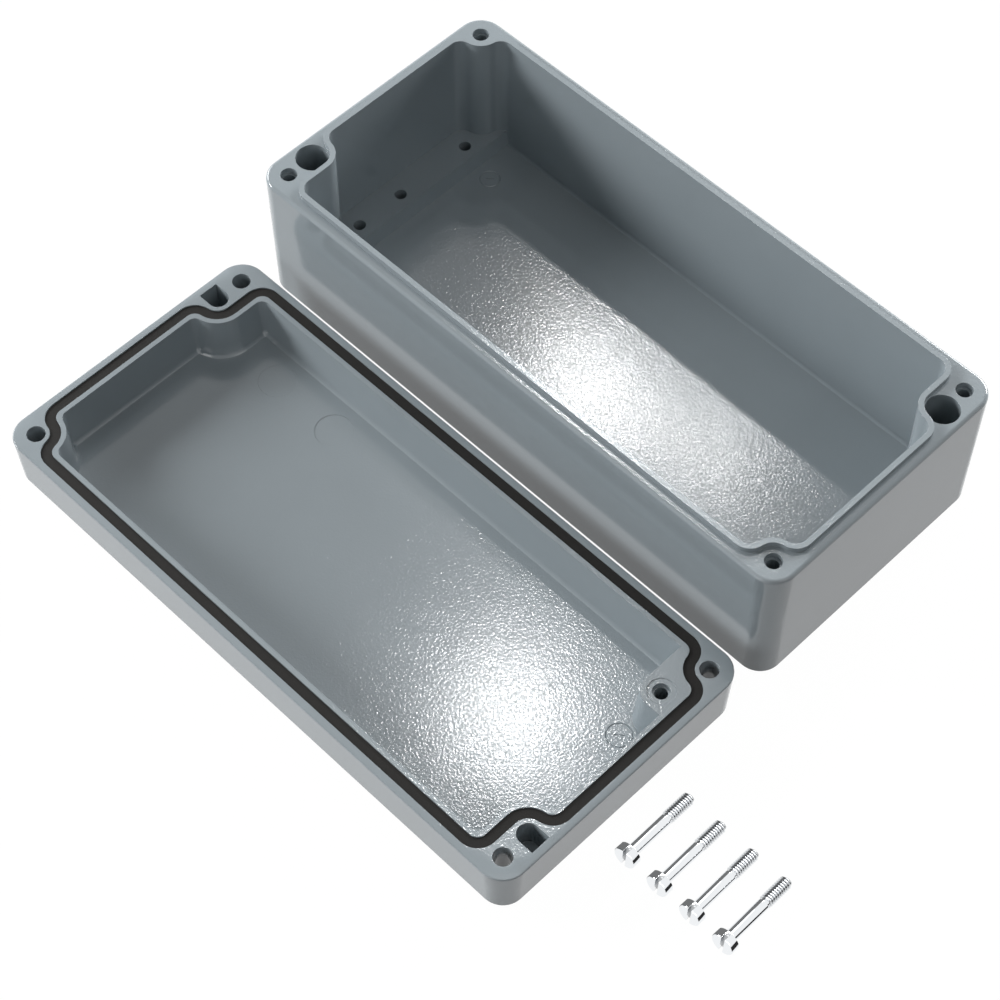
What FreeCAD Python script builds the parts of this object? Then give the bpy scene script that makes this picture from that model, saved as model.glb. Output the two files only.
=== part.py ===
import FreeCAD, Part
import math
import os
import Sketcher

# Die cast aluminium box: base with its open side up, lid lying inside-up beside it with the
# gasket in its groove, and four cover screws lying on the floor.
# Origin at the centre of the base underside, long side along X, +Z up, millimetres.

doc = FreeCAD.newDocument("DieCastBox")

# Driving dimensions
sheet = doc.addObject("Spreadsheet::Sheet", "Sizes")
DIMENSIONS = [
    ("half_length", 87.5, "half of the outer length at the rim"),
    ("half_width", 40.0, "half of the outer width at the rim"),
    ("corner_round", 6.5, "outer vertical corner radius at the rim"),
    ("screw_inset", 6.0, "cover screw axis to both outer sides at the rim"),
    ("fixing_step", 8.0, "wall fixing hole beside the cover screw, across the width"),
    ("screw_boss", 7.5, "boss radius at a cover screw, on the screw rectangle"),
    ("fixing_boss", 8.0, "boss radius at a wall fixing hole, on the screw rectangle"),
    ("wall_round", 1.3, "inner rounding between wall and boss, on the screw rectangle"),
    ("base_height", 41.7, "underside to sealing face"),
    ("base_floor", 4.0, "floor thickness of the base"),
    ("base_draft", 0.5, "inward lean of the base outside over its height"),
    ("base_wall", 2.0, "inner wall offset from the screw rectangle at the rim"),
    ("base_floor_edge", 0.8, "inner chamfer at the base floor"),
    ("base_foot_edge", 1.1, "outer chamfer at the underside"),
    ("base_rim_round", 1.0, "outer rounding at the sealing face"),
    ("tongue_thick", 1.4, "thickness of the rim tongue"),
    ("tongue_height", 1.5, "height of the rim tongue"),
    ("strip_wide", 13.7, "outer end to inner edge of the end strip"),
    ("strip_height", 5.0, "end strip top above the base floor"),
    ("strip_slope", 0.8, "lean of the strip face"),
    ("strip_hole_inset", 9.7, "strip holes to the outer end"),
    ("strip_hole_side", 16.0, "outer strip hole to the outer side"),
    ("strip_hole_mid", 25.0, "inner strip hole to the outer side"),
    ("strip_hole_wide", 3.3, "strip hole diameter"),
    ("strip_hole_deep", 6.5, "strip hole depth"),
    ("cover_hole_wide", 3.1, "tapped cover screw hole diameter"),
    ("cover_hole_deep", 14.0, "tapped cover screw hole depth"),
    ("cover_lead_wide", 4.35, "lead-in diameter of the cover screw hole"),
    ("cover_lead_deep", 1.8, "lead-in depth of the cover screw hole"),
    ("fixing_well_wide", 8.6, "wall fixing screw head well diameter"),
    ("fixing_floor", 5.0, "metal left under the fixing screw head"),
    ("fixing_hole_wide", 4.5, "wall fixing hole diameter"),
    ("lid_height", 15.3, "lid outer face to rim"),
    ("lid_skin", 3.0, "floor thickness of the lid"),
    ("lid_draft", 0.7, "inward lean of the lid outside over its height"),
    ("lid_inner_draft", 1.0, "inward lean of the lid inner wall over its height"),
    ("lid_floor_edge", 1.0, "inner chamfer at the lid floor"),
    ("lid_wall_round", 2.2, "inner rounding between wall and boss in the lid cavity"),
    ("lid_face_edge", 1.0, "outer chamfer at the lid outer face"),
    ("lid_rim_edge", 0.3, "chamfer of the lid rim"),
    ("lid_x", -0.2, "lid centre along X"),
    ("lid_gap", 6.72, "gap between base and lid as they lie"),
    ("groove_lip", 1.3, "inner wall to the groove"),
    ("groove_wide", 2.8, "groove width"),
    ("groove_deep", 2.6, "groove depth"),
    ("gasket_play", 0.05, "clearance between gasket and groove wall"),
    ("gasket_below", 0.35, "gasket top below the rim"),
    ("lid_hole_wide", 4.8, "cover screw clearance hole diameter"),
    ("lid_well_wide", 7.2, "cover screw head well diameter"),
    ("lid_well_deep", 3.3, "cover screw head well depth"),
    ("pocket_round", 2.75, "rounding of the D-shaped pocket"),
    ("pocket_end", 2.05, "outer end to the flat of the D-shaped pocket"),
    ("pocket_deep", 9.0, "depth of the D-shaped pocket"),
    ("earth_from_end", 10.0, "earth boss hole to the outer end"),
    ("earth_from_side", 18.1, "earth boss hole to the outer side"),
    ("earth_half", 5.0, "earth boss hole to its free edges"),
    ("earth_draft", 6.0, "draft of the earth boss, degrees"),
    ("earth_hole_wide", 3.3, "earth screw hole diameter"),
    ("earth_hole_deep", 9.0, "earth screw hole depth"),
    ("earth_lead_wide", 4.35, "lead-in diameter of the earth screw hole"),
    ("earth_lead_deep", 1.2, "lead-in depth of the earth screw hole"),
    ("earth_seat_wide", 7.0, "washer seat diameter"),
    ("earth_seat_deep", 0.15, "washer seat depth"),
    ("head_wide", 6.0, "screw head diameter"),
    ("head_high", 2.4, "screw head height"),
    ("shank_wide", 3.1, "plain shank diameter"),
    ("thread_wide", 3.5, "thread diameter"),
    ("thread_long", 8.2, "threaded length"),
    ("screw_long", 20.4, "screw length under the head"),
    ("slot_wide", 1.0, "driver slot width"),
    ("slot_deep", 1.2, "driver slot depth"),
    ("screw_gap", 9.35, "base end to the first lying screw"),
    ("screw_step", 10.02, "step between lying screws"),
    ("screw_front", 10.68, "head faces of the lying screws in front of the lid centre"),
    ("screw_turn", 1.15, "turn of the lying screws, degrees"),
]

values = {}
for row, (name, value, note) in enumerate(DIMENSIONS, start=1):
    sheet.set(f"A{row}", name)
    sheet.set(f"B{row}", str(value))
    sheet.setAlias(f"B{row}", name)
    sheet.set(f"C{row}", note)
    values[name] = value
doc.recompute()

# Places that follow from the driving dimensions
screw_x = "Sizes.half_length - Sizes.screw_inset"
screw_y = "Sizes.half_width - Sizes.screw_inset"
fixing_y = screw_y + " - Sizes.fixing_step"
strip_edge = "Sizes.half_length - Sizes.strip_wide"
strip_hole_x = "Sizes.half_length - Sizes.strip_hole_inset"
strip_side_y = "Sizes.half_width - Sizes.strip_hole_side"
strip_mid_y = "Sizes.half_width - Sizes.strip_hole_mid"
pocket_flat = "Sizes.half_length - Sizes.pocket_end"
earth_x = "Sizes.half_length - Sizes.earth_from_end"
earth_y = "Sizes.half_width - Sizes.earth_from_side"
lid_y = "0 - 2 * Sizes.half_width - Sizes.lid_gap"
screw_front_y = lid_y + " - Sizes.screw_front"


def size(expression):
    """Number that a sum of products over the sheet stands for now."""
    total = 0.0
    for term in expression.replace("Sizes.", "").replace("-", "+-").replace(" ", "").split("+"):
        if not term:
            continue
        sign = -1.0 if term.startswith("-") else 1.0
        product = sign
        for factor in term.lstrip("-").split("*"):
            top, slash, bottom = factor.partition("/")
            product *= values[top] if top in values else float(top)
            if slash:
                product /= float(bottom)
        total += product
    return total


def new_body(name):
    body = doc.addObject("PartDesign::Body", name)
    body.Label = name
    return body


def new_sketch(body, name, role="XY_Plane", height=None):
    sketch = body.newObject("Sketcher::SketchObject", name)
    plane = [item for item in body.Origin.OriginFeatures if item.Role == role][0]
    sketch.AttachmentSupport = [(plane, "")]
    sketch.MapMode = "FlatFace"
    if height:
        sketch.setExpression("AttachmentOffset.Base.z", height)
    return sketch


def dimension(sketch, kind, *arguments):
    """Add one dimension; its last argument is an expression over the sheet."""
    expression = arguments[-1]
    number = sketch.addConstraint(Sketcher.Constraint(kind, *arguments[:-1], size(expression)))
    sketch.setExpression(f"Constraints[{number}]", expression)


def from_origin(sketch, axis, item, point, sign, expression):
    """Distance of a point from the sketch origin along one axis, on the given side."""
    if sign > 0:
        dimension(sketch, "Distance" + axis, -1, 1, item, point, expression)
    else:
        dimension(sketch, "Distance" + axis, item, point, -1, 1, expression)


def add_circle(sketch, sign_x, place_x, sign_y, place_y, diameter):
    centre = FreeCAD.Vector(sign_x * size(place_x), sign_y * size(place_y), 0)
    item = sketch.addGeometry(Part.Circle(centre, FreeCAD.Vector(0, 0, 1), size(diameter) / 2))
    dimension(sketch, "Diameter", item, diameter)
    from_origin(sketch, "X", item, 3, sign_x, place_x)
    if size(place_y) == 0:
        sketch.addConstraint(Sketcher.Constraint("PointOnObject", item, 3, -1))
    else:
        from_origin(sketch, "Y", item, 3, sign_y, place_y)


def add_line(sketch, start, end):
    return sketch.addGeometry(Part.LineSegment(FreeCAD.Vector(*start, 0), FreeCAD.Vector(*end, 0)))


def add_arc(sketch, centre, start, end, turns_left):
    """Arc walked from start to end; gives the item and which of its ends is which."""
    first, last = (start, end) if turns_left else (end, start)
    begin = math.atan2(first[1] - centre[1], first[0] - centre[0])
    finish = math.atan2(last[1] - centre[1], last[0] - centre[0])
    while finish <= begin:
        finish += 2 * math.pi
    radius = math.dist(centre, start)
    circle = Part.Circle(FreeCAD.Vector(*centre, 0), FreeCAD.Vector(0, 0, 1), radius)
    item = sketch.addGeometry(Part.ArcOfCircle(circle, begin, finish))
    return (item, 1, 2) if turns_left else (item, 2, 1)


def along(origin, target, length):
    reach = math.dist(origin, target)
    return tuple(a + (b - a) * length / reach for a, b in zip(origin, target))


def screw_corner(offset, corner):
    """Outline pieces round a corner that holds only a cover screw, from the end wall on."""
    across, up = size(screw_x), size(screw_y)
    boss = size("Sizes.screw_boss")
    leg = math.sqrt((boss + corner) ** 2 - corner ** 2)
    low, high = (across - corner, up - leg), (across - leg, up - corner)
    first = along((across, up), low, boss - offset)
    second = along((across, up), high, boss - offset)
    return [
        ("round", low, (across + offset, low[1]), first),
        ("boss", (across, up), first, second),
        ("round", high, second, (high[0], up + offset)),
    ]


def fixing_corner(offset, corner):
    """Outline pieces round a corner with cover screw and wall fixing hole."""
    across, up = size(screw_x), size(screw_y)
    side = size(fixing_y)
    boss = size("Sizes.fixing_boss")
    leg = math.sqrt((boss + corner) ** 2 - corner ** 2)
    low = (across - corner, side - leg)
    high = (across - boss - corner, up - corner)
    flank = across - boss + offset
    first = along((across, side), low, boss - offset)
    return [
        ("round", low, (across + offset, low[1]), first),
        ("fixing", (across, side), first, (flank, side)),
        ("flank", None, (flank, side), (flank, high[1])),
        ("round", high, (flank, high[1]), (high[0], up + offset)),
    ]


def add_rim_outline(sketch, offset_expression, corner_expression, fixing_signs):
    """Closed outline at a constant offset from the screw rectangle, round all four bosses.

    fixing_signs holds the two corners that carry a wall fixing hole."""
    offset = size(offset_expression)
    corner = size(corner_expression)
    chain = []
    for sign_x, sign_y in ((1, 1), (-1, 1), (-1, -1), (1, -1)):
        has_fixing = (sign_x, sign_y) in fixing_signs
        pieces = (fixing_corner if has_fixing else screw_corner)(offset, corner)
        forward = sign_x * sign_y > 0
        if not forward:
            pieces = [(kind, centre, end, start) for kind, centre, start, end in reversed(pieces)]
        placed = []
        for kind, centre, start, end in pieces:
            start = (sign_x * start[0], sign_y * start[1])
            end = (sign_x * end[0], sign_y * end[1])
            if kind == "flank":
                placed.append((kind, None, start, end, sign_x, sign_y))
            else:
                centre = (sign_x * centre[0], sign_y * centre[1])
                placed.append((kind, centre, start, end, sign_x, sign_y))
        chain.append(placed)

    items = []
    rounds, bosses, fixings = [], [], []
    for index, placed in enumerate(chain):
        for kind, centre, start, end, sign_x, sign_y in placed:
            if kind == "flank":
                item = (add_line(sketch, start, end), 1, 2)
                sketch.addConstraint(Sketcher.Constraint("Vertical", item[0]))
            else:
                item = add_arc(sketch, centre, start, end, kind == "round")
                if kind == "round":
                    rounds.append(item[0])
                else:
                    (bosses if kind == "boss" else fixings).append(item[0])
                    height = screw_y if kind == "boss" else fixing_y
                    from_origin(sketch, "X", item[0], 3, sign_x, screw_x)
                    from_origin(sketch, "Y", item[0], 3, sign_y, height)
            items.append(item)
        following = chain[(index + 1) % 4]
        wall = (add_line(sketch, placed[-1][3], following[0][2]), 1, 2)
        items.append(wall)
        if index in (0, 2):
            sketch.addConstraint(Sketcher.Constraint("Horizontal", wall[0]))
            reach = screw_y + " + " + offset_expression
            from_origin(sketch, "Y", wall[0], 1, 1 if index == 0 else -1, reach)
        else:
            sketch.addConstraint(Sketcher.Constraint("Vertical", wall[0]))
            reach = screw_x + " + " + offset_expression
            from_origin(sketch, "X", wall[0], 1, -1 if index == 1 else 1, reach)

    for number, item in enumerate(items):
        following = items[(number + 1) % len(items)]
        sketch.addConstraint(Sketcher.Constraint("Tangent", item[0], item[2], following[0], following[1]))
    for group, expression in (
        (rounds, corner_expression + " + " + offset_expression),
        (bosses, "Sizes.screw_boss - (" + offset_expression + ")"),
        (fixings, "Sizes.fixing_boss - (" + offset_expression + ")"),
    ):
        for other in group[1:]:
            sketch.addConstraint(Sketcher.Constraint("Equal", group[0], other))
        number = sketch.addConstraint(Sketcher.Constraint("Radius", group[0], sketch.Geometry[group[0]].Radius))
        sketch.setExpression(f"Constraints[{number}]", expression)


def add_rectangle(sketch, half_x, half_y):
    across, up = size(half_x), size(half_y)
    corners = [(across, -up), (across, up), (-across, up), (-across, -up)]
    lines = [add_line(sketch, corners[i], corners[(i + 1) % 4]) for i in range(4)]
    for i in range(4):
        sketch.addConstraint(Sketcher.Constraint("Coincident", lines[i], 2, lines[(i + 1) % 4], 1))
    for i in (0, 2):
        sketch.addConstraint(Sketcher.Constraint("Vertical", lines[i]))
        from_origin(sketch, "X", lines[i], 1, 1 if i == 0 else -1, half_x)
    for i in (1, 3):
        sketch.addConstraint(Sketcher.Constraint("Horizontal", lines[i]))
        from_origin(sketch, "Y", lines[i], 1, 1 if i == 1 else -1, half_y)


def add_rounded_rectangle(sketch, half_x, half_y, corner):
    across, up, bend = size(half_x), size(half_y), size(corner)
    arcs, items = [], []
    for sign_x, sign_y in ((1, 1), (-1, 1), (-1, -1), (1, -1)):
        centre = (sign_x * (across - bend), sign_y * (up - bend))
        side = (sign_x * across, centre[1])
        top = (centre[0], sign_y * up)
        start, end = (side, top) if sign_x * sign_y > 0 else (top, side)
        arcs.append((centre, start, end))
    for index, (centre, start, end) in enumerate(arcs):
        items.append(add_arc(sketch, centre, start, end, True))
        items.append((add_line(sketch, end, arcs[(index + 1) % 4][1]), 1, 2))
    for number, item in enumerate(items):
        following = items[(number + 1) % 8]
        sketch.addConstraint(Sketcher.Constraint("Tangent", item[0], item[2], following[0], following[1]))
    for wall in (1, 5):
        sketch.addConstraint(Sketcher.Constraint("Horizontal", items[wall][0]))
        from_origin(sketch, "Y", items[wall][0], 1, 1 if wall == 1 else -1, half_y)
    for wall in (3, 7):
        sketch.addConstraint(Sketcher.Constraint("Vertical", items[wall][0]))
        from_origin(sketch, "X", items[wall][0], 1, -1 if wall == 3 else 1, half_x)
    for bend_item in (2, 4, 6):
        sketch.addConstraint(Sketcher.Constraint("Equal", items[0][0], items[bend_item][0]))
    dimension(sketch, "Radius", items[0][0], corner)


def add_feature(body, kind, name, sketch, expressions, **settings):
    feature = body.newObject("PartDesign::" + kind, name)
    feature.Profile = sketch
    for key, value in settings.items():
        setattr(feature, key, value)
    for key, expression in expressions.items():
        feature.setExpression(key, expression)
    doc.recompute()
    return feature


def add_block(body, name, height, lean, foot_edge, rim_edge, rim_kind):
    """Block with an upright foot and an upright rim, and walls leaning inwards between them."""
    foot, rim = foot_edge + " + 0.2", rim_edge + " + 0.2"
    low = new_sketch(body, name + "FootOutline")
    corner = "Sizes.corner_round - " + lean
    add_rounded_rectangle(low, "Sizes.half_length - " + lean, "Sizes.half_width - " + lean, corner)
    add_feature(body, "Pad", name + "Foot", low, {"Length": foot})
    high = new_sketch(body, name + "RimOutline", height=f"{height} - ({rim})")
    add_rounded_rectangle(high, "Sizes.half_length", "Sizes.half_width", "Sizes.corner_round")
    tall = f"{height} - ({foot}) - ({rim})"
    settings = {"Length": tall, "TaperAngle": f"-atan({lean} / ({tall}))"}
    add_feature(body, "Pad", name + "Walls", high, settings, Reversed=True)
    add_feature(body, "Pad", name + "Rim", high, {"Length": rim})
    top = size(height)
    round_edges(body, name + "FootEdge", foot_edge, lambda edge: level(edge, 0), "Chamfer")
    round_edges(body, name + "RimEdge", rim_edge, lambda edge: level(edge, top), rim_kind)


def cut_down(body, name, sketch, depth):
    """Pocket from the sketch plane downwards, proved by the volume it removes."""
    before = body.Shape.Volume
    feature = add_feature(body, "Pocket", name, sketch, {"Length": depth})
    if not body.Shape.Volume < before - 1e-3:
        raise RuntimeError(name + " removes nothing")
    return feature


def round_edges(body, name, radius, wanted, kind="Fillet"):
    base = body.Tip
    edges = [f"Edge{n}" for n, edge in enumerate(base.Shape.Edges, start=1) if wanted(edge)]
    feature = body.newObject("PartDesign::" + kind, name)
    feature.Base = (base, edges)
    feature.setExpression("Radius" if kind == "Fillet" else "Size", radius)
    doc.recompute()
    return feature


def level(edge, height):
    box = edge.BoundBox
    return abs(box.ZMin - height) < 1e-4 and abs(box.ZMax - height) < 1e-4


# Base casting: outer block
base = new_body("box_base")
add_block(
    base, "Base", "Sizes.base_height", "Sizes.base_draft",
    "Sizes.base_foot_edge", "Sizes.base_rim_round", "Fillet",
)

# Base casting: cavity that winds round the corner bosses
base_fixings = ((1, 1), (-1, -1))
mouth = new_sketch(base, "BaseMouth", height="Sizes.base_height")
add_rim_outline(mouth, "Sizes.base_wall", "Sizes.wall_round", base_fixings)
cut_down(base, "BaseCavity", mouth, "Sizes.base_height - Sizes.base_floor")
floor_level = size("Sizes.base_floor")
round_edges(base, "BaseFloorEdge", "Sizes.base_floor_edge", lambda edge: level(edge, floor_level), "Chamfer")

# Base casting: tongue on the sealing face
tongue = new_sketch(base, "TongueOutline", height="Sizes.base_height")
add_rim_outline(tongue, "Sizes.base_wall", "Sizes.wall_round", base_fixings)
add_rim_outline(tongue, "Sizes.base_wall + Sizes.tongue_thick", "Sizes.wall_round", base_fixings)
add_feature(base, "Pad", "Tongue", tongue, {"Length": "Sizes.tongue_height"})

# Base casting: strip with blind holes at each end
for side, name in ((-1, "Left"), (1, "Right")):
    strip = new_sketch(base, name + "Strip", role="XZ_Plane")
    top = size("Sizes.base_floor + Sizes.strip_height")
    low = size("Sizes.base_floor - 0.5")
    wall_place = screw_x + " + Sizes.base_wall"
    foot_place = strip_edge + " - Sizes.strip_slope"
    wall = side * size(wall_place)
    edge = side * size(strip_edge)
    foot = side * size(foot_place)
    corners = [(wall, low), (wall, top), (edge, top), (foot, low)]
    lines = [add_line(strip, corners[i], corners[(i + 1) % 4]) for i in range(4)]
    for i in range(4):
        strip.addConstraint(Sketcher.Constraint("Coincident", lines[i], 2, lines[(i + 1) % 4], 1))
    strip.addConstraint(Sketcher.Constraint("Vertical", lines[0]))
    strip.addConstraint(Sketcher.Constraint("Horizontal", lines[1]))
    strip.addConstraint(Sketcher.Constraint("Horizontal", lines[3]))
    from_origin(strip, "X", lines[0], 1, side, wall_place)
    from_origin(strip, "X", lines[2], 1, side, strip_edge)
    from_origin(strip, "X", lines[3], 1, side, foot_place)
    from_origin(strip, "Y", lines[1], 1, 1, "Sizes.base_floor + Sizes.strip_height")
    from_origin(strip, "Y", lines[0], 1, 1, "Sizes.base_floor - 0.5")
    across = "2 * (Sizes.half_width - Sizes.screw_inset + Sizes.base_wall)"
    add_feature(base, "Pad", name + "StripPad", strip, {"Length": across}, Midplane=True)

strip_holes = new_sketch(base, "StripHoles", height="Sizes.base_floor + Sizes.strip_height")
for side in (-1, 1):
    places = ((1, strip_side_y), (-1, strip_side_y), (side, strip_mid_y))
    for sign_y, place_y in places:
        add_circle(strip_holes, side, strip_hole_x, sign_y, place_y, "Sizes.strip_hole_wide")
    add_circle(strip_holes, side, strip_hole_x, 1, "0", "Sizes.strip_hole_wide")
cut_down(base, "StripDrilling", strip_holes, "Sizes.strip_hole_deep")

# Base casting: tapped cover screw holes with a lead-in, and the wall fixing holes
corner_signs = ((1, 1), (-1, 1), (-1, -1), (1, -1))


def cut_round_holes(body, name, height, places, diameter, depth):
    sketch = new_sketch(body, name + "Places", height=height)
    for sign_x, place_x, sign_y, place_y in places:
        add_circle(sketch, sign_x, place_x, sign_y, place_y, diameter)
    return cut_down(body, name, sketch, depth)


cover_places = [(sign_x, screw_x, sign_y, screw_y) for sign_x, sign_y in corner_signs]
fixing_places = [(sign_x, screw_x, sign_y, fixing_y) for sign_x, sign_y in base_fixings]
rim = "Sizes.base_height"
cut_round_holes(base, "CoverHoles", rim, cover_places, "Sizes.cover_hole_wide", "Sizes.cover_hole_deep")
cut_round_holes(base, "CoverLeadIn", rim, cover_places, "Sizes.cover_lead_wide", "Sizes.cover_lead_deep")
cut_round_holes(base, "FixingWell", rim, fixing_places, "Sizes.fixing_well_wide", "Sizes.base_height - Sizes.fixing_floor")
cut_round_holes(base, "FixingHole", rim, fixing_places, "Sizes.fixing_hole_wide", "Sizes.base_height + 1")

# Lid casting as it lies: outer face down, rim up
lid = new_body("lid")
add_block(
    lid, "Lid", "Sizes.lid_height", "Sizes.lid_draft",
    "Sizes.lid_face_edge", "Sizes.lid_rim_edge", "Chamfer",
)

# Lid casting: shallow cavity
lid_fixings = ((-1, 1), (1, -1))
mouth = new_sketch(lid, "LidMouth", height="Sizes.lid_height")
add_rim_outline(mouth, "0", "Sizes.lid_wall_round", lid_fixings)
bottom = new_sketch(lid, "LidBottom", height="Sizes.lid_skin")
add_rim_outline(bottom, "0 - Sizes.lid_inner_draft", "Sizes.lid_wall_round", lid_fixings)
add_feature(lid, "SubtractiveLoft", "LidCavity", mouth, {}, Sections=[bottom], Ruled=True)

skin_level = size("Sizes.lid_skin")
round_edges(lid, "LidFloorEdge", "Sizes.lid_floor_edge", lambda edge: level(edge, skin_level), "Chamfer")

# Lid casting: earth boss in the corner, wider at its foot
earth = new_sketch(lid, "EarthBoss", height="Sizes.lid_height")
behind_x, behind_y = screw_x + " + Sizes.groove_lip/2", screw_y + " + Sizes.groove_lip/2"
free_x, free_y = earth_x + " - Sizes.earth_half", earth_y + " - Sizes.earth_half"
wall_x, wall_y = size(behind_x), size(behind_y)
edge_x, edge_y = size(free_x), size(free_y)
bend = size("Sizes.earth_half")
centre = (edge_x + bend, edge_y + bend)
curve = add_arc(earth, centre, (edge_x, centre[1]), (centre[0], edge_y), True)
lower = add_line(earth, (centre[0], edge_y), (wall_x, edge_y))
outer = add_line(earth, (wall_x, edge_y), (wall_x, wall_y))
upper = add_line(earth, (wall_x, wall_y), (edge_x, wall_y))
inner = add_line(earth, (edge_x, wall_y), (edge_x, centre[1]))
earth.addConstraint(Sketcher.Constraint("Tangent", inner, 2, curve[0], 1))
earth.addConstraint(Sketcher.Constraint("Tangent", curve[0], 2, lower, 1))
earth.addConstraint(Sketcher.Constraint("Coincident", lower, 2, outer, 1))
earth.addConstraint(Sketcher.Constraint("Coincident", outer, 2, upper, 1))
earth.addConstraint(Sketcher.Constraint("Coincident", upper, 2, inner, 1))
for line in (lower, upper):
    earth.addConstraint(Sketcher.Constraint("Horizontal", line))
for line in (outer, inner):
    earth.addConstraint(Sketcher.Constraint("Vertical", line))
dimension(earth, "Radius", curve[0], "Sizes.earth_half")
from_origin(earth, "X", inner, 1, 1, free_x)
from_origin(earth, "Y", lower, 2, 1, free_y)
from_origin(earth, "X", outer, 1, 1, behind_x)
from_origin(earth, "Y", upper, 1, 1, behind_y)
add_feature(
    lid, "Pad", "EarthBossPad", earth,
    {"Length": "Sizes.lid_height - Sizes.lid_skin", "TaperAngle": "Sizes.earth_draft"}, Reversed=True,
)

# Lid casting: gasket groove
groove = new_sketch(lid, "GrooveOutline", height="Sizes.lid_height")
add_rim_outline(groove, "Sizes.groove_lip", "Sizes.wall_round", lid_fixings)
add_rim_outline(groove, "Sizes.groove_lip + Sizes.groove_wide", "Sizes.wall_round", lid_fixings)
cut_down(lid, "Groove", groove, "Sizes.groove_deep")

# Lid casting: cover screw holes, head wells on the outer face, earth screw hole
lid_top = "Sizes.lid_height"
earth_place = [(1, earth_x, 1, earth_y)]
cut_round_holes(lid, "LidHoles", lid_top, cover_places, "Sizes.lid_hole_wide", "Sizes.lid_height + 1")
cut_round_holes(lid, "HeadWells", "Sizes.lid_well_deep", cover_places, "Sizes.lid_well_wide", "Sizes.lid_well_deep + 1")
cut_round_holes(lid, "EarthHole", lid_top, earth_place, "Sizes.earth_hole_wide", "Sizes.earth_hole_deep")
cut_round_holes(lid, "EarthLeadIn", lid_top, earth_place, "Sizes.earth_lead_wide", "Sizes.earth_lead_deep")
cut_round_holes(lid, "EarthSeat", lid_top, earth_place, "Sizes.earth_seat_wide", "Sizes.earth_seat_deep")

# Lid casting: D-shaped pockets opposite the wall fixing holes
pockets = new_sketch(lid, "PocketOutlines", height="Sizes.lid_height")
for sign_x, sign_y in lid_fixings:
    bend = size("Sizes.pocket_round")
    flat_x = sign_x * size(pocket_flat)
    centre = (sign_x * size(screw_x), sign_y * size(fixing_y))
    first = (centre[0], centre[1] + sign_x * bend)
    last = (centre[0], centre[1] - sign_x * bend)
    curve = add_arc(pockets, centre, first, last, True)
    leave = add_line(pockets, last, (flat_x, last[1]))
    flat = add_line(pockets, (flat_x, last[1]), (flat_x, first[1]))
    back = add_line(pockets, (flat_x, first[1]), first)
    pockets.addConstraint(Sketcher.Constraint("Tangent", curve[0], 2, leave, 1))
    pockets.addConstraint(Sketcher.Constraint("Coincident", leave, 2, flat, 1))
    pockets.addConstraint(Sketcher.Constraint("Coincident", flat, 2, back, 1))
    pockets.addConstraint(Sketcher.Constraint("Tangent", back, 2, curve[0], 1))
    pockets.addConstraint(Sketcher.Constraint("Horizontal", leave))
    pockets.addConstraint(Sketcher.Constraint("Horizontal", back))
    pockets.addConstraint(Sketcher.Constraint("Vertical", flat))
    dimension(pockets, "Radius", curve[0], "Sizes.pocket_round")
    from_origin(pockets, "X", curve[0], 3, sign_x, screw_x)
    from_origin(pockets, "Y", curve[0], 3, sign_y, fixing_y)
    from_origin(pockets, "X", flat, 1, sign_x, pocket_flat)
cut_down(lid, "Pockets", pockets, "Sizes.pocket_deep")

# Gasket lying on the groove floor
gasket = new_body("gasket")
ring = new_sketch(gasket, "GasketOutline", height="Sizes.lid_height - Sizes.groove_deep")
add_rim_outline(ring, "Sizes.groove_lip + Sizes.gasket_play", "Sizes.wall_round", lid_fixings)
add_rim_outline(ring, "Sizes.groove_lip + Sizes.groove_wide - Sizes.gasket_play", "Sizes.wall_round", lid_fixings)
add_feature(gasket, "Pad", "GasketCord", ring, {"Length": "Sizes.groove_deep - Sizes.gasket_below"})

for piece in (lid, gasket):
    piece.setExpression("Placement.Base.x", "Sizes.lid_x")
    piece.setExpression("Placement.Base.y", lid_y)

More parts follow.
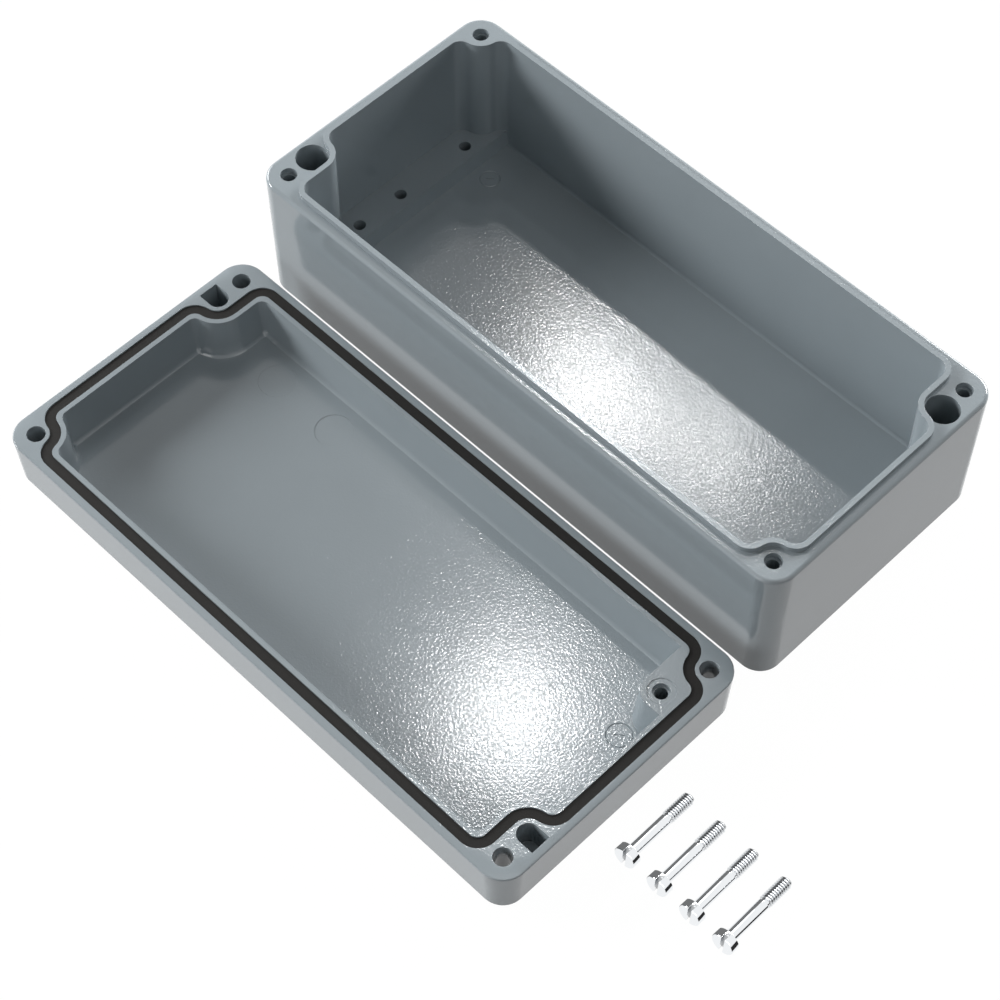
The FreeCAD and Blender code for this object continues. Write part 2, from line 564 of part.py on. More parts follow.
# Cover screws: head face at the local origin, axis along local +Z
screws = []
for number in range(4):
    screw = new_body(f"cover_screw_{number + 1}")
    half = new_sketch(screw, f"ScrewHalf{number + 1}", role="XZ_Plane")
    head, shank, thread = size("Sizes.head_wide") / 2, size("Sizes.shank_wide") / 2, size("Sizes.thread_wide") / 2
    under = size("Sizes.head_high")
    tip = under + size("Sizes.screw_long")
    begin = tip - size("Sizes.thread_long")
    points = [
        (0, 0), (head, 0), (head, under), (shank, under), (shank, begin),
        (thread, begin), (thread, tip), (0, tip),
    ]
    lines = [add_line(half, points[i], points[(i + 1) % 8]) for i in range(8)]
    for i in range(8):
        half.addConstraint(Sketcher.Constraint("Coincident", lines[i], 2, lines[(i + 1) % 8], 1))
    half.addConstraint(Sketcher.Constraint("Coincident", lines[0], 1, -1, 1))
    half.addConstraint(Sketcher.Constraint("PointOnObject", lines[7], 1, -2))
    for i in (0, 2, 4, 6):
        half.addConstraint(Sketcher.Constraint("Horizontal", lines[i]))
    for i in (1, 3, 5):
        half.addConstraint(Sketcher.Constraint("Vertical", lines[i]))
    from_origin(half, "X", lines[1], 1, 1, "Sizes.head_wide/2")
    from_origin(half, "X", lines[3], 1, 1, "Sizes.shank_wide/2")
    from_origin(half, "X", lines[5], 1, 1, "Sizes.thread_wide/2")
    from_origin(half, "Y", lines[2], 1, 1, "Sizes.head_high")
    from_origin(half, "Y", lines[4], 1, 1, "Sizes.head_high + Sizes.screw_long - Sizes.thread_long")
    from_origin(half, "Y", lines[6], 1, 1, "Sizes.head_high + Sizes.screw_long")
    turning = screw.newObject("PartDesign::Revolution", f"ScrewTurning{number + 1}")
    turning.Profile = half
    turning.ReferenceAxis = (half, ["V_Axis"])
    turning.Angle = 360
    doc.recompute()
    slot = new_sketch(screw, f"SlotOutline{number + 1}", height="Sizes.slot_deep")
    add_rectangle(slot, "Sizes.slot_wide/2", "Sizes.head_wide/2 + 1")
    cut_down(screw, f"Slot{number + 1}", slot, "Sizes.slot_deep + 1")

    # The screw lies on the rear edge of its head and on the end of its thread
    lean = "atan((Sizes.head_wide - Sizes.thread_wide) / 2 / Sizes.screw_long)"
    drop = f"cos({lean}) * Sizes.head_wide / 2 + sin({lean}) * Sizes.head_high"
    place_x = f"Sizes.half_length + Sizes.screw_gap + {number} * Sizes.screw_step"
    spot = f"create(<<vector>>; {place_x}; {screw_front_y}; {drop})"
    turn = f"create(<<rotation>>; Sizes.screw_turn; 0; -90 - {lean} / 1 deg)"
    screw.setExpression("Placement", f"create(<<placement>>; {spot}; {turn})")
    screws.append(screw)

doc.recompute()

pieces = [base, lid, gasket] + screws
for item in doc.Objects:
    if "Invalid" in item.State or "Error" in item.State:
        raise RuntimeError(item.Name + " failed: " + str(item.State))
for piece in pieces:
    if piece.Shape.isNull() or not piece.Shape.isValid() or len(piece.Shape.Solids) != 1:
        raise RuntimeError(piece.Label + " is not one valid solid")

os.makedirs("parts", exist_ok=True)
for piece in pieces:
    piece.Shape.exportStep(f"parts/{piece.Label}.step")
    box = piece.Shape.BoundBox
    print(piece.Label, round(piece.Shape.Volume), [round(v, 2) for v in (box.XMin, box.XMax, box.YMin, box.YMax, box.ZMin, box.ZMax)])
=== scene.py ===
import math

import bmesh
import bpy
from mathutils import Matrix, Vector


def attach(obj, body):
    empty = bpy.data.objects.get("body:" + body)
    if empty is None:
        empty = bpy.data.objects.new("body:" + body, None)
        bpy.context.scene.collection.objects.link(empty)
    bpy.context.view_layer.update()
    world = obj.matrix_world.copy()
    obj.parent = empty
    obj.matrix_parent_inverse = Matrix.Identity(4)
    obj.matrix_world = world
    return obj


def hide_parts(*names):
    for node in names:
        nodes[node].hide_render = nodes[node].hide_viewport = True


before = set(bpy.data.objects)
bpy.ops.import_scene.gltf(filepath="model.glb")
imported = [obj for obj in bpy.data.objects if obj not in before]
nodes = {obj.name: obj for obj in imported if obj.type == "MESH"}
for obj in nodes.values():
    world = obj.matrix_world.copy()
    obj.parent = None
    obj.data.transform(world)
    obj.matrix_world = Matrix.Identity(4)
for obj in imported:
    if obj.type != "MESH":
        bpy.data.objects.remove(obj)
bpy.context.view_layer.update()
print("frame loaded")


# camera

viewer = dict(
    place=(0.26533, -0.30492, 0.54626), azimuth=45.09, elevation=56.16, roll=-0.09,
    lens=94.81, sensorWidth=36, nearest=0.01, farthest=20,
)


def addCamera(settings):
    data = bpy.data.cameras.new("viewer")
    data.lens = settings["lens"]
    data.sensor_width = settings["sensorWidth"]
    data.clip_start = settings["nearest"]
    data.clip_end = settings["farthest"]
    camera = bpy.data.objects.new("viewer", data)
    bpy.context.scene.collection.objects.link(camera)
    turn = Matrix.Rotation(math.radians(settings["azimuth"]), 4, "Z")
    tilt = Matrix.Rotation(math.radians(90 - settings["elevation"]), 4, "X")
    roll = Matrix.Rotation(math.radians(settings["roll"]), 4, "Z")
    camera.matrix_world = Matrix.Translation(settings["place"]) @ turn @ tilt @ roll
    bpy.context.scene.camera = camera


addCamera(viewer)
print("camera placed")


# node helpers

def newMaterial(name):
    material = bpy.data.materials.new(name)
    material.use_nodes = True
    tree = material.node_tree
    tree.nodes.clear()
    return material, tree


def addNode(tree, kind, place=(0, 0), **settings):
    node = tree.nodes.new(kind)
    node.location = place
    for key, value in settings.items():
        setattr(node, key, value)
    return node


# floor, world and lamps

studio = dict(
    floorSize=6.0, floorDrop=0.0002, floorWhite=0.33, floorGlow=1.04, shadowShare=0.05,
    worldLight=0.0, worldSeen=1.0,  # the air lights nothing, it is only seen and mirrored
    lampAim=(0.0, -0.04, 0.0),  # for a lamp that has no aim of its own
)


def addFloor(settings):
    bpy.ops.object.select_all(action="DESELECT")
    bpy.ops.mesh.primitive_plane_add(size=settings["floorSize"], location=(0, 0, -settings["floorDrop"]))
    floor = bpy.context.active_object
    floor.name = "studioFloor"
    material, tree = newMaterial("floorPaper")
    output = addNode(tree, "ShaderNodeOutputMaterial", (600, 0))
    mixed = addNode(tree, "ShaderNodeMixShader", (400, 0))
    paper = addNode(tree, "ShaderNodeBsdfDiffuse", (200, -150))
    paper.inputs["Color"].default_value = (settings["floorWhite"],) * 3 + (1,)
    glow = addNode(tree, "ShaderNodeEmission", (200, 0))
    glow.inputs["Strength"].default_value = settings["floorGlow"]
    path = addNode(tree, "ShaderNodeLightPath", (-200, 200))
    seen = addNode(tree, "ShaderNodeMath", (0, 200), operation="MAXIMUM")
    tree.links.new(path.outputs["Is Camera Ray"], seen.inputs[0])
    tree.links.new(path.outputs["Is Glossy Ray"], seen.inputs[1])
    share = addNode(tree, "ShaderNodeMath", (200, 200), operation="MULTIPLY")
    share.inputs[1].default_value = 1.0 - settings["shadowShare"]
    tree.links.new(seen.outputs[0], share.inputs[0])
    tree.links.new(share.outputs[0], mixed.inputs[0])
    tree.links.new(paper.outputs[0], mixed.inputs[1])
    tree.links.new(glow.outputs[0], mixed.inputs[2])
    tree.links.new(mixed.outputs[0], output.inputs["Surface"])
    floor.data.materials.append(material)


def addWorld(settings):
    world = bpy.data.worlds.new("studioAir")
    world.use_nodes = True
    tree = world.node_tree
    tree.nodes.clear()
    output = addNode(tree, "ShaderNodeOutputWorld", (400, 0))
    air = addNode(tree, "ShaderNodeBackground", (200, 0))
    air.inputs["Color"].default_value = (1, 1, 1, 1)
    path = addNode(tree, "ShaderNodeLightPath", (-600, 0))
    seen = addNode(tree, "ShaderNodeMath", (-400, 0), operation="MAXIMUM")
    seenOrThrough = addNode(tree, "ShaderNodeMath", (-200, 0), operation="MAXIMUM")
    tree.links.new(path.outputs["Is Camera Ray"], seen.inputs[0])
    tree.links.new(path.outputs["Is Glossy Ray"], seen.inputs[1])
    tree.links.new(seen.outputs[0], seenOrThrough.inputs[0])
    tree.links.new(path.outputs["Is Transmission Ray"], seenOrThrough.inputs[1])
    level = addNode(tree, "ShaderNodeMapRange", (0, 0))
    level.inputs["To Min"].default_value = settings["worldLight"]
    level.inputs["To Max"].default_value = settings["worldSeen"]
    tree.links.new(seenOrThrough.outputs[0], level.inputs["Value"])
    tree.links.new(level.outputs["Result"], air.inputs["Strength"])
    tree.links.new(air.outputs[0], output.inputs["Surface"])
    bpy.context.scene.world = world


def addLamp(name, settings):
    # a round soft light: azimuth runs anticlockwise from +X, radiance is how bright its face is
    data = bpy.data.lights.new(name, "AREA")
    data.shape = "DISK"
    data.size = settings["size"]
    area = math.pi * (settings["size"] / 2) ** 2
    data.energy = settings["radiance"] * math.pi * area
    lamp = bpy.data.objects.new(name, data)
    bpy.context.scene.collection.objects.link(lamp)
    around, above = math.radians(settings["azimuth"]), math.radians(settings["elevation"])
    way = Vector((math.cos(around) * math.cos(above), math.sin(around) * math.cos(above), math.sin(above)))
    lamp.location = Vector(settings.get("aim", studio["lampAim"])) + way * settings["distance"]
    lamp.rotation_euler = way.to_track_quat("Z", "Y").to_euler()


# the four hot lamps are small and far, and their mirror images are the glare on the inner floors
lampSet = dict(
    hotLid=dict(azimuth=134.5, elevation=60.9, distance=6.0, size=0.16,
                radiance=185.0, aim=(0.054, -0.089, 0.003)),
    hotBase=dict(azimuth=132.2, elevation=53.7, distance=6.0, size=0.16,
                 radiance=144.0, aim=(-0.002, -0.010, 0.004)),
    hotMiddle=dict(azimuth=130.0, elevation=54.4, distance=6.0, size=0.16,
                   radiance=45.0, aim=(0.018, -0.012, 0.004)),
    hotRight=dict(azimuth=126.8, elevation=54.9, distance=6.0, size=0.16,
                  radiance=75.0, aim=(0.037, 0.0, 0.004)),
    key=dict(azimuth=215, elevation=22, distance=2.0, size=0.7, radiance=28.4),
    left=dict(azimuth=180, elevation=20, distance=2.0, size=1.2, radiance=9.5),
    front=dict(azimuth=270, elevation=15, distance=2.0, size=1.2, radiance=2.9),
    right=dict(azimuth=0, elevation=40, distance=2.0, size=1.2, radiance=1.6),
    rear=dict(azimuth=90, elevation=15, distance=2.0, size=1.2, radiance=18.5),
    rearLeft=dict(azimuth=112, elevation=35, distance=2.0, size=1.2, radiance=1.4),
    over=dict(azimuth=0, elevation=88, distance=2.0, size=1.2, radiance=1.0),
)
addFloor(studio)
addWorld(studio)
for name, lamp in lampSet.items():
    addLamp(name + "Lamp", lamp)
print("studio ready")


# materials

paint = dict(
    colour=(0.235, 0.270, 0.290), roughness=0.105, edgeRound=0.00015, edgeSamples=2,
    cloudSize=60.0, cloudDetail=3.0, cloudShare=0.04,
    grainSize=1600.0, grainDetail=1.0, grainTwist=0.4, grainDepth=0.0000185,
    wallShare=0.04, wallBelow=0.80, floorAbove=0.99,  # grain by how far a face looks up or down, 0 to 1
)


def paintedCasting(settings):
    material, tree = newMaterial("paintedCasting")
    output = addNode(tree, "ShaderNodeOutputMaterial", (1100, 0))
    shader = addNode(tree, "ShaderNodeBsdfPrincipled", (800, 0))
    where = addNode(tree, "ShaderNodeTexCoord", (-800, 0))
    # slightly uneven paint
    cloud = addNode(tree, "ShaderNodeTexNoise", (-500, 200))
    cloud.inputs["Scale"].default_value = settings["cloudSize"]
    cloud.inputs["Detail"].default_value = settings["cloudDetail"]
    tint = addNode(tree, "ShaderNodeMix", (-200, 200), data_type="RGBA")
    colour = settings["colour"]
    tint.inputs["A"].default_value = tuple(c * (1 - settings["cloudShare"]) for c in colour) + (1,)
    tint.inputs["B"].default_value = tuple(c * (1 + settings["cloudShare"]) for c in colour) + (1,)
    tree.links.new(where.outputs["Object"], cloud.inputs["Vector"])
    tree.links.new(cloud.outputs["Fac"], tint.inputs["Factor"])
    tree.links.new(tint.outputs["Result"], shader.inputs["Base Color"])
    shader.inputs["Roughness"].default_value = settings["roughness"]
    # orange peel, strong on faces that look up or down and faint on the walls
    grain = addNode(tree, "ShaderNodeTexNoise", (-500, -200))
    grain.inputs["Scale"].default_value = settings["grainSize"]
    grain.inputs["Detail"].default_value = settings["grainDetail"]
    grain.inputs["Distortion"].default_value = settings["grainTwist"]
    tree.links.new(where.outputs["Object"], grain.inputs["Vector"])
    facing = addNode(tree, "ShaderNodeNewGeometry", (-800, -400))
    axes = addNode(tree, "ShaderNodeSeparateXYZ", (-600, -400))
    upward = addNode(tree, "ShaderNodeMath", (-400, -400), operation="ABSOLUTE")
    share = addNode(tree, "ShaderNodeMapRange", (-200, -400), interpolation_type="SMOOTHSTEP")
    share.inputs["From Min"].default_value = settings["wallBelow"]
    share.inputs["From Max"].default_value = settings["floorAbove"]
    share.inputs["To Min"].default_value = settings["wallShare"]
    share.inputs["To Max"].default_value = 1.0
    height = addNode(tree, "ShaderNodeMath", (0, -200), operation="MULTIPLY")
    tree.links.new(facing.outputs["True Normal"], axes.inputs[0])
    tree.links.new(axes.outputs["Z"], upward.inputs[0])
    tree.links.new(upward.outputs[0], share.inputs["Value"])
    tree.links.new(grain.outputs["Fac"], height.inputs[0])
    tree.links.new(share.outputs["Result"], height.inputs[1])
    edges = addNode(tree, "ShaderNodeBevel", (200, -400), samples=settings["edgeSamples"])
    edges.inputs["Radius"].default_value = settings["edgeRound"]
    bump = addNode(tree, "ShaderNodeBump", (400, -200))
    bump.inputs["Strength"].default_value = 1.0
    bump.inputs["Distance"].default_value = settings["grainDepth"]
    tree.links.new(height.outputs[0], bump.inputs["Height"])
    tree.links.new(edges.outputs["Normal"], bump.inputs["Normal"])
    tree.links.new(bump.outputs["Normal"], shader.inputs["Normal"])
    tree.links.new(shader.outputs[0], output.inputs["Surface"])
    return material


rubber = dict(
    colour=(0.0125, 0.0118, 0.0110), roughness=0.6, specular=0.15,
    poreSize=1500.0, poreDetail=2.0, poreDepth=0.00002, poreShare=0.2,
)


def gasketRubber(settings):
    material, tree = newMaterial("gasketRubber")
    output = addNode(tree, "ShaderNodeOutputMaterial", (700, 0))
    shader = addNode(tree, "ShaderNodeBsdfPrincipled", (400, 0))
    where = addNode(tree, "ShaderNodeTexCoord", (-500, 0))
    pores = addNode(tree, "ShaderNodeTexNoise", (-250, 0))
    pores.inputs["Scale"].default_value = settings["poreSize"]
    pores.inputs["Detail"].default_value = settings["poreDetail"]
    tone = addNode(tree, "ShaderNodeMix", (0, 200), data_type="RGBA")
    colour = settings["colour"]
    tone.inputs["A"].default_value = tuple((1 - settings["poreShare"]) * c for c in colour) + (1,)
    tone.inputs["B"].default_value = tuple((1 + settings["poreShare"]) * c for c in colour) + (1,)
    bump = addNode(tree, "ShaderNodeBump", (150, -200))
    bump.inputs["Distance"].default_value = settings["poreDepth"]
    tree.links.new(where.outputs["Object"], pores.inputs["Vector"])
    tree.links.new(pores.outputs["Fac"], tone.inputs["Factor"])
    tree.links.new(tone.outputs["Result"], shader.inputs["Base Color"])
    tree.links.new(pores.outputs["Fac"], bump.inputs["Height"])
    tree.links.new(bump.outputs["Normal"], shader.inputs["Normal"])
    shader.inputs["Roughness"].default_value = settings["roughness"]
    shader.inputs["Specular IOR Level"].default_value = settings["specular"]
    tree.links.new(shader.outputs[0], output.inputs["Surface"])
    return material


plating = dict(
    # the hollow shade is painted shade, for the thread's root and the slot's floor
    colour=(0.86, 0.88, 0.90), paintedHollowShade=0.5, roughness=0.05, streakSize=900.0, streakShare=0.03,
)


def platedSteel(settings):
    material, tree = newMaterial("platedSteel")
    output = addNode(tree, "ShaderNodeOutputMaterial", (500, 0))
    shader = addNode(tree, "ShaderNodeBsdfPrincipled", (200, 0))
    shader.inputs["Metallic"].default_value = 1.0
    # painted shade: the thread is darker at its root and the slot darker on its floor, shade painted into
    # the plating's colour
    root = addNode(tree, "ShaderNodeAttribute", (-500, 250), attribute_name="hollowShadeMask")
    tint = addNode(tree, "ShaderNodeMix", (-100, 250), data_type="RGBA")
    tint.inputs["A"].default_value = tuple(settings["paintedHollowShade"] * c for c in settings["colour"]) + (1,)
    tint.inputs["B"].default_value = settings["colour"] + (1,)
    tree.links.new(root.outputs["Fac"], tint.inputs["Factor"])
    tree.links.new(tint.outputs["Result"], shader.inputs["Base Color"])
    where = addNode(tree, "ShaderNodeTexCoord", (-500, 0))
    streaks = addNode(tree, "ShaderNodeTexNoise", (-250, 0))
    streaks.inputs["Scale"].default_value = settings["streakSize"]
    level = addNode(tree, "ShaderNodeMapRange", (0, -100))
    level.inputs["To Min"].default_value = settings["roughness"] - settings["streakShare"]
    level.inputs["To Max"].default_value = settings["roughness"] + settings["streakShare"]
    tree.links.new(where.outputs["Object"], streaks.inputs["Vector"])
    tree.links.new(streaks.outputs["Fac"], level.inputs["Value"])
    tree.links.new(level.outputs["Result"], shader.inputs["Roughness"])
    tree.links.new(shader.outputs[0], output.inputs["Surface"])
    return material


casting = paintedCasting(paint)
sealRubber = gasketRubber(rubber)
chrome = platedSteel(plating)
print("materials ready")


# the two castings: merged copies with soft edges and the small marks of their moulds
# a mark is cut into the inner floor, and a ring has a bar across it

baseShape = dict(
    floorHeight=0.0040,
    marks=[dict(kind="ring", place=(-0.0679, 0.0236), radius=0.00275, wide=0.00034, bar=0.0022)],
)
lidShape = dict(
    floorHeight=0.0030,
    marks=[dict(kind="ring", place=(0.0741, -0.07492), radius=0.0032, wide=0.00034, bar=0.0026),
           dict(kind="disc", place=(-0.0372, -0.06252), radius=0.0050, deep=0.00008),
           dict(kind="disc", place=(-0.0589, -0.06212), radius=0.0050, deep=0.00005)],
)
markShape = dict(discSides=96, ringSides=64, ringThrough=8, barHeight=0.0003, barTurn=40)
softShape = dict(mergeWithin=0.000002, softAngle=50, faceWeight=80, flatNormal=0.999, floorWithin=0.0001)


def deselect():
    if bpy.context.object and bpy.context.object.mode != "OBJECT":
        bpy.ops.object.mode_set(mode="OBJECT")
    bpy.ops.object.select_all(action="DESELECT")


def pick(piece):
    deselect()
    piece.select_set(True)
    bpy.context.view_layer.objects.active = piece


def carve(piece, tool):
    modifier = piece.modifiers.new("carve", "BOOLEAN")
    modifier.operation = "DIFFERENCE"
    modifier.solver = "EXACT"
    modifier.object = tool
    pick(piece)
    bpy.ops.object.modifier_apply(modifier=modifier.name)
    bpy.data.objects.remove(tool, do_unlink=True)


def carveMark(piece, mark, height):
    place = mark["place"] + (height,)
    deselect()
    if mark["kind"] == "disc":
        bpy.ops.mesh.primitive_cylinder_add(
            vertices=markShape["discSides"], radius=mark["radius"], depth=2 * mark["deep"], location=place)
        carve(piece, bpy.context.active_object)
        return
    bpy.ops.mesh.primitive_torus_add(
        major_segments=markShape["ringSides"], minor_segments=markShape["ringThrough"],
        major_radius=mark["radius"], minor_radius=mark["wide"] / 2, location=place)
    carve(piece, bpy.context.active_object)
    deselect()
    bpy.ops.mesh.primitive_cube_add(
        size=1, location=place, rotation=(0, 0, math.radians(markShape["barTurn"])))
    bar = bpy.context.active_object
    bar.scale = (mark["bar"], mark["wide"], markShape["barHeight"])
    carve(piece, bar)


def onFloor(face, height):
    level = abs(face.normal.z) > softShape["flatNormal"]
    return level and abs(face.calc_center_median().z - height) < softShape["floorWithin"]


def crispFloor(piece, height):
    # keeps the inner floor flat up to its edge, so no lamp streak runs along the foot of the walls
    mesh = bmesh.new()
    mesh.from_mesh(piece.data)
    for edge in mesh.edges:
        if sum(onFloor(face, height) for face in edge.link_faces) == 1:
            edge.smooth = False
    mesh.to_mesh(piece.data)
    mesh.free()


def softCopy(node, name, shape):
    piece = bpy.data.objects.new(name, node.data.copy())
    bpy.context.scene.collection.objects.link(piece)
    pick(piece)
    bpy.ops.object.mode_set(mode="EDIT")
    bpy.ops.mesh.select_all(action="SELECT")
    bpy.ops.mesh.remove_doubles(threshold=softShape["mergeWithin"])
    bpy.ops.object.mode_set(mode="OBJECT")
    bpy.ops.mesh.customdata_custom_splitnormals_clear()
    for mark in shape["marks"]:
        carveMark(piece, mark, shape["floorHeight"])
    pick(piece)
    bpy.ops.object.shade_smooth_by_angle(angle=math.radians(softShape["softAngle"]))
    crispFloor(piece, shape["floorHeight"])
    weighted = piece.modifiers.new("flatFaces", "WEIGHTED_NORMAL")
    weighted.keep_sharp = True
    weighted.weight = softShape["faceWeight"]
    bpy.ops.object.modifier_apply(modifier=weighted.name)
    piece.data.materials.clear()
    piece.data.materials.append(casting)
    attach(piece, "root")
    return piece


baseCasting = softCopy(nodes["box_base"], "baseCasting", baseShape)
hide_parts("box_base")
lidCasting = softCopy(nodes["lid"], "lidCasting", lidShape)
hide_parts("lid")
print("castings ready")


# gasket: the ring from the frame, with its rubber

gasket = nodes["gasket"]
gasket.data.materials.clear()
gasket.data.materials.append(sealRubber)
print("gasket ready")


# cover screws: one slotted cheese head screw with its thread, then four copies
# it stands on its head while it is made, and its length counts from under the head

screw = dict(
    sides=64, headRadius=0.0030, headHeight=0.0024, headRound=0.0003, headRoundSteps=5,
    slotWidth=0.0010, slotDepth=0.0012, slotLength=0.008,
    length=0.0204, shankLength=0.0122, shankRadius=0.00155, neckLength=0.0002,
    tipLength=0.0004, tipShare=0.78, capWithin=0.000001,
    coreRadius=0.00128, crestRadius=0.00175, pitch=0.0007, turns=11, steps=36,
    threadGap=0.00035, footShare=0.46, footDeep=0.00006, crestHalf=0.00004,
    runOutSlope=0.9, runOutLength=0.0006,
    softWidth=0.00005, softSteps=2, softAngle=60, smoothAngle=40,
    shadeGap=0.0001, slotShadeShare=0.55, slotShadeLow=0.0009, slotShadeHigh=0.0013,
)
lying = dict(count=4, first=(0.09685, -0.09740), step=0.01002, turn=1.15)


def selectCap(piece, height):
    # picks the flat cap at one height, in edit mode
    mesh = bmesh.from_edit_mesh(piece.data)
    for vertex in mesh.verts:
        vertex.select = False
    mesh.select_flush(False)
    for face in mesh.faces:
        face.select = all(abs(corner.co.z - height) < screw["capWithin"] for corner in face.verts)
    mesh.select_flush(True)
    bmesh.update_edit_mesh(piece.data)


def drawOut(distance):
    bpy.ops.mesh.extrude_region_move(TRANSFORM_OT_translate=dict(value=(0, 0, distance)))


def screwBody(sizes):
    deselect()
    bpy.ops.mesh.primitive_cylinder_add(
        vertices=sizes["sides"], radius=sizes["headRadius"], depth=sizes["headHeight"],
        location=(0, 0, sizes["headHeight"] / 2))
    body = bpy.context.active_object
    body.name = "screwBody"
    bpy.ops.object.transform_apply(location=True, rotation=True, scale=True)
    bpy.ops.object.mode_set(mode="EDIT")
    bpy.ops.mesh.select_mode(type="FACE")
    # shank, thread core and tip are drawn out of the rear face of the head
    selectCap(body, sizes["headHeight"])
    bpy.ops.mesh.inset(thickness=sizes["headRadius"] - sizes["shankRadius"])
    drawOut(sizes["shankLength"] - sizes["neckLength"])
    drawOut(sizes["neckLength"])
    narrow = sizes["coreRadius"] / sizes["shankRadius"]
    bpy.ops.transform.resize(value=(narrow, narrow, 1))
    drawOut(sizes["length"] - sizes["shankLength"] - sizes["tipLength"])
    drawOut(sizes["tipLength"])
    bpy.ops.transform.resize(value=(sizes["tipShare"], sizes["tipShare"], 1))
    selectCap(body, 0.0)
    bpy.ops.mesh.bevel(offset=sizes["headRound"], segments=sizes["headRoundSteps"], affect="EDGES")
    bpy.ops.object.mode_set(mode="OBJECT")
    deselect()
    bpy.ops.mesh.primitive_cube_add(size=1, location=(0, 0, 0))
    slot = bpy.context.active_object
    slot.scale = (sizes["slotWidth"], sizes["slotLength"], 2 * sizes["slotDepth"])
    carve(body, slot)
    return body


def screwThread(sizes):
    # one ridge swept round the core, its ends closed and run out
    start = sizes["headHeight"] + sizes["shankLength"] + sizes["threadGap"]
    half, inside = sizes["footShare"] * sizes["pitch"], sizes["coreRadius"] - sizes["footDeep"]
    crest, crestHalf = sizes["crestRadius"], sizes["crestHalf"]
    points = [(inside, 0, start - half), (crest, 0, start - crestHalf),
              (crest, 0, start + crestHalf), (inside, 0, start + half)]
    data = bpy.data.meshes.new("screwRidge")
    data.from_pydata(points, [(0, 1), (1, 2), (2, 3), (3, 0)], [])
    ridge = bpy.data.objects.new("screwRidge", data)
    bpy.context.scene.collection.objects.link(ridge)
    sweep = ridge.modifiers.new("sweep", "SCREW")
    sweep.axis = "Z"
    sweep.angle = math.radians(360)
    sweep.screw_offset = sizes["pitch"]
    sweep.iterations = sizes["turns"]
    sweep.steps = sizes["steps"]
    sweep.render_steps = sizes["steps"]
    pick(ridge)
    bpy.ops.object.modifier_apply(modifier=sweep.name)
    bpy.ops.object.mode_set(mode="EDIT")
    bpy.ops.mesh.select_all(action="SELECT")
    bpy.ops.mesh.fill_holes(sides=4)
    bpy.ops.mesh.select_all(action="SELECT")
    bpy.ops.mesh.normals_make_consistent(inside=False)
    bpy.ops.object.mode_set(mode="OBJECT")
    slope = sizes["runOutSlope"]
    runOutStart = sizes["headHeight"] + sizes["length"] - sizes["runOutLength"]
    for vertex in ridge.data.vertices:
        around = math.hypot(vertex.co.x, vertex.co.y)
        atStart = sizes["coreRadius"] + slope * (vertex.co.z - (start - half))
        atTip = crest - slope * max(0.0, vertex.co.z - runOutStart)
        most = max(inside, min(crest, atStart, atTip))
        if around > most:
            vertex.co.x *= most / around
            vertex.co.y *= most / around
    return ridge


def shadeThread(body, sizes):
    # painted shade mask: 0 at the thread's root and on the slot's floor, 1 at the crest and on all the
    # rest
    height = body.data.attributes.new("hollowShadeMask", "FLOAT", "POINT")
    threadStart = sizes["headHeight"] + sizes["shankLength"] + sizes["shadeGap"]
    for vertex in body.data.vertices:
        x, y, z = vertex.co
        share = (math.hypot(x, y) - sizes["coreRadius"]) / (sizes["crestRadius"] - sizes["coreRadius"])
        # the slot's floor takes the full painted shade
        inSlot = abs(x) < sizes["slotShadeShare"] * sizes["slotWidth"]
        if inSlot and sizes["slotShadeLow"] < z < sizes["slotShadeHigh"]:
            share = 0.0
        elif z < threadStart:
            share = 1.0
        height.data[vertex.index].value = min(1.0, max(0.0, share))


def screwPiece(sizes):
    body = screwBody(sizes)
    ridge = screwThread(sizes)
    pick(body)
    ridge.select_set(True)
    bpy.ops.object.join()
    soften = body.modifiers.new("soften", "BEVEL")
    soften.width = sizes["softWidth"]
    soften.segments = sizes["softSteps"]
    soften.limit_method = "ANGLE"
    soften.angle_limit = math.radians(sizes["softAngle"])
    pick(body)
    bpy.ops.object.modifier_apply(modifier=soften.name)
    bpy.ops.object.shade_smooth_by_angle(angle=math.radians(sizes["smoothAngle"]))
    shadeThread(body, sizes)
    return body


pattern = screwPiece(screw)
# a lying screw rests on its head and its thread, so it leans a little
lean = math.atan((screw["headRadius"] - screw["crestRadius"]) / screw["length"])
drop = math.cos(lean) * screw["headRadius"] + math.sin(lean) * screw["headHeight"]
for number in range(lying["count"]):
    copy = bpy.data.objects.new(f"coverScrew{number + 1}", pattern.data.copy())
    bpy.context.scene.collection.objects.link(copy)
    turn = Matrix.Rotation(math.radians(lying["turn"]), 4, "Z")
    tilt = Matrix.Rotation(-math.pi / 2 - lean, 4, "X")
    place = Matrix.Translation((lying["first"][0] + number * lying["step"], lying["first"][1], drop))
    copy.data.transform(place @ turn @ tilt)
    copy.data.materials.clear()
    copy.data.materials.append(chrome)
    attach(copy, "root")
    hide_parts(f"cover_screw_{number + 1}")
bpy.data.objects.remove(pattern, do_unlink=True)
print("screws ready")
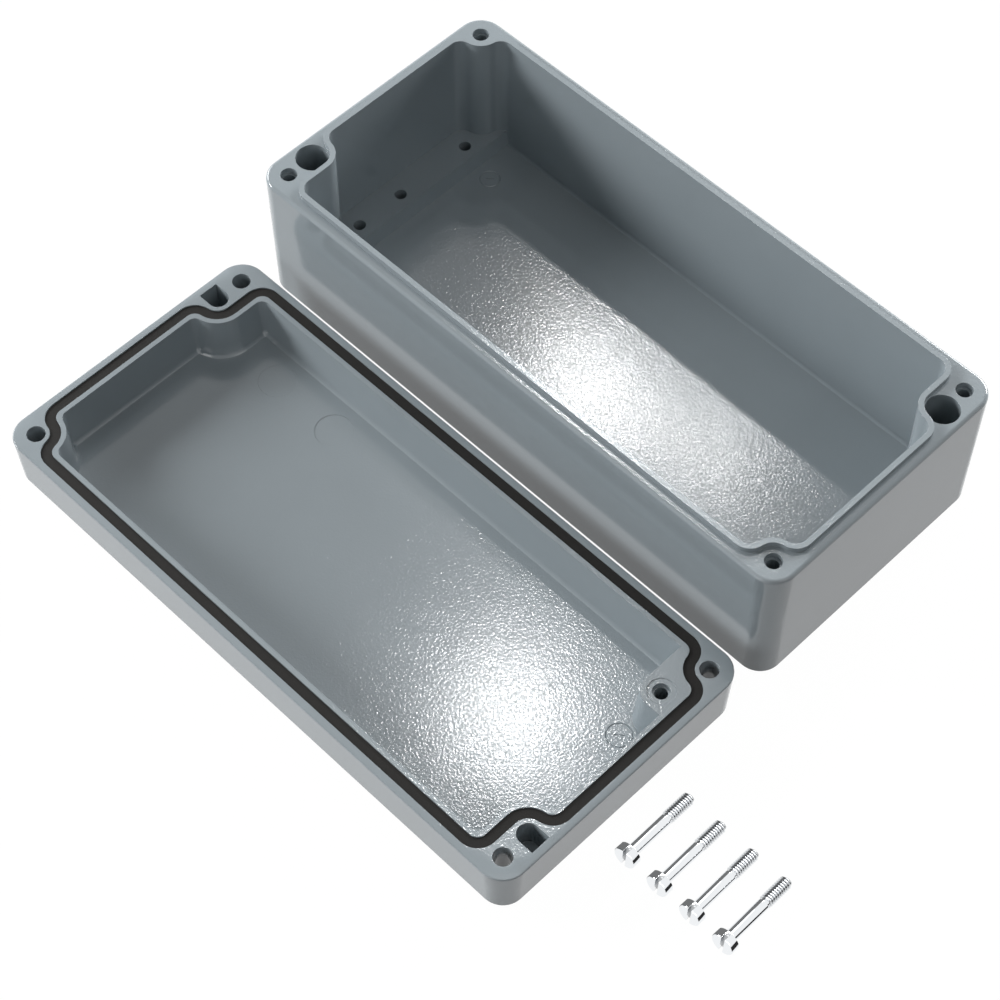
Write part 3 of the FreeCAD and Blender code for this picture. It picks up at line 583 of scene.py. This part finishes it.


# small glowing cards beside each screw paint its grey and dark bands: the grey cards a painted reflection,
# the dark ones a painted shadow of the floor under and beside the screws
# they are seen only in reflections, and only from the screw's side
cards = dict(
    away=0.0049, lowest=0.0001, paintedReflectionLevel=0.19, paintedShadowLevel=0.03,
    grey=[(-0.0005, 0.0045, -0.0030, 0.0088), (0.0045, 0.0270, 0.0006, 0.0080)],
    dark=[(-0.0010, 0.0050, -0.0003, 0.0022), (0.0050, 0.0250, -0.0011, 0.0004)],
    darkLast=[(-0.0010, 0.0050, -0.0012, 0.0022), (0.0050, 0.0250, -0.0018, 0.0012)],
)


# painted reflection: a sheet that glows at a set level on its front and is clear from behind
def paintedReflectionMaterial(name, level):
    material, tree = newMaterial(name)
    output = addNode(tree, "ShaderNodeOutputMaterial", (500, 0))
    mixed = addNode(tree, "ShaderNodeMixShader", (300, 0))
    paper = addNode(tree, "ShaderNodeEmission", (0, 0))
    paper.inputs["Strength"].default_value = level
    clear = addNode(tree, "ShaderNodeBsdfTransparent", (0, -150))
    side = addNode(tree, "ShaderNodeNewGeometry", (0, 250))
    tree.links.new(side.outputs["Backfacing"], mixed.inputs[0])
    tree.links.new(paper.outputs[0], mixed.inputs[1])
    tree.links.new(clear.outputs[0], mixed.inputs[2])
    tree.links.new(mixed.outputs[0], output.inputs["Surface"])
    return material


def addCard(name, screwX, side, bounds, paper):
    # bounds: start and end along the screw, bottom and top from its axis
    start, end, bottom, top = bounds
    x = screwX + side * cards["away"]
    corners = []
    for along, up in ((start, bottom), (end, bottom), (end, top), (start, top)):
        axis = drop - math.sin(lean) * max(0.0, along)
        corners.append((x, lying["first"][1] + along, max(cards["lowest"], axis + up)))
    order = (0, 1, 2, 3) if side < 0 else (3, 2, 1, 0)
    data = bpy.data.meshes.new(name)
    data.from_pydata(corners, [], [order])
    data.materials.append(paper)
    card = bpy.data.objects.new(name, data)
    bpy.context.scene.collection.objects.link(card)
    for way in ("camera", "diffuse", "transmission", "shadow"):
        setattr(card, "visible_" + way, False)


# the grey level is a painted reflection, the dark level a painted shadow
paintedGreyReflection = paintedReflectionMaterial("paintedGreyReflection", cards["paintedReflectionLevel"])
paintedShadowReflection = paintedReflectionMaterial("paintedShadowReflection", cards["paintedShadowLevel"])
for number in range(lying["count"]):
    screwX = lying["first"][0] + number * lying["step"]
    shadowBounds = cards["darkLast"] if number == lying["count"] - 1 else cards["dark"]
    for part, bounds in enumerate(cards["grey"]):
        addCard(f"paintedReflectionCard{number + 1}{part + 1}", screwX, -1, bounds, paintedGreyReflection)
    for part, bounds in enumerate(shadowBounds):
        addCard(f"paintedShadowCard{number + 1}{part + 1}", screwX, 1, bounds, paintedShadowReflection)
print("cards ready")


scene = bpy.context.scene
scene.view_settings.view_transform = "Standard"
